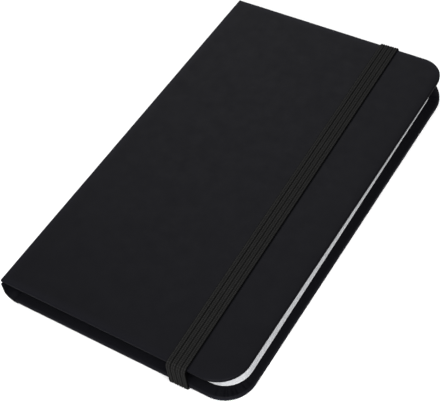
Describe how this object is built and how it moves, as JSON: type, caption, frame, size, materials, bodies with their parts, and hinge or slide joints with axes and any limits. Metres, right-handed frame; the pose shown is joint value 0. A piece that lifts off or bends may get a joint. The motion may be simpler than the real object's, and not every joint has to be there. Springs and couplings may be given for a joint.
{
  "type": "pocket notebook",
  "caption": "Pocket notebook with soft black covers, rounded fore-edge corners, sewn pages and a ribbed elastic closing band.",
  "frame": {"origin": "middle of the bounding box's underside, with the notebook closed and lying on its back cover", "axes": "+X from the spine to the fore-edge, +Y along the spine from tail to head, +Z from the back cover to the front cover"},
  "size_m": [0.0884, 0.1518, 0.0109],
  "materials": {
    "covering": "matte, very fine grain",
    "greyboard": "raw board",
    "paper": "smooth uncoated paper",
    "end_paper": "smooth uncoated paper",
    "gauze": "open weave",
    "thread": "twisted",
    "elastic": "ribbed knit"
  },
  "bodies": {
    "back_half": {"cover_wrap_back": "covering", "back_board": "greyboard", "back_pastedown": "end_paper", "spine_liner_back": "greyboard", "mull_back": "gauze", "thread_back_1": "thread", "thread_back_2": "thread", "thread_back_3": "thread", "thread_back_4": "thread", "signature_4": "paper", "signature_5": "paper", "signature_6": "paper", "back_flyleaf": "end_paper", "elastic_tab_head": "elastic", "elastic_tab_tail": "elastic"},
    "front_cover": {"cover_wrap_front": "covering", "front_board": "greyboard", "front_pastedown": "end_paper", "spine_liner_front": "greyboard", "mull_front": "gauze", "thread_front_1": "thread", "thread_front_2": "thread", "thread_front_3": "thread", "thread_front_4": "thread"},
    "front_flyleaf": {"front_flyleaf": "end_paper"},
    "signature_1": {"signature_1": "paper"},
    "signature_2": {"signature_2": "paper"},
    "signature_3": {"signature_3": "paper"},
    "elastic": {"elastic_band": "elastic"}
  },
  "joints": [
    {"name": "front_cover_hinge", "type": "hinge", "parent": "back_half", "child": "front_cover", "pos_m": [-0.0443, 0, 0.00543], "axis": [0, -1, 0], "range_deg": [0, 180], "deforming": ["elastic_band"]},
    {"name": "front_flyleaf_turn", "type": "hinge", "parent": "back_half", "child": "front_flyleaf", "pos_m": [-0.0443, 0, 0.00543], "axis": [0, -1, 0], "range_deg": [0, 180]},
    {"name": "signature_1_turn", "type": "hinge", "parent": "back_half", "child": "signature_1", "pos_m": [-0.0443, 0, 0.00543], "axis": [0, -1, 0], "range_deg": [0, 180]},
    {"name": "signature_2_turn", "type": "hinge", "parent": "back_half", "child": "signature_2", "pos_m": [-0.0443, 0, 0.00543], "axis": [0, -1, 0], "range_deg": [0, 180]},
    {"name": "signature_3_turn", "type": "hinge", "parent": "back_half", "child": "signature_3", "pos_m": [-0.0443, 0, 0.00543], "axis": [0, -1, 0], "range_deg": [0, 180]},
    {"name": "elastic_slide", "type": "slide", "parent": "back_half", "child": "elastic", "axis": [1, 0, 0], "range_m": [0, 0.03], "stiffness_N_per_m": 60}
  ],
  "couplings": [
    {"joint": "front_flyleaf_turn", "follows": "front_cover_hinge", "ratio": 0.99},
    {"joint": "signature_1_turn", "follows": "front_cover_hinge", "ratio": 0.98},
    {"joint": "signature_2_turn", "follows": "front_cover_hinge", "ratio": 0.97},
    {"joint": "signature_3_turn", "follows": "front_cover_hinge", "ratio": 0.96}
  ]
}
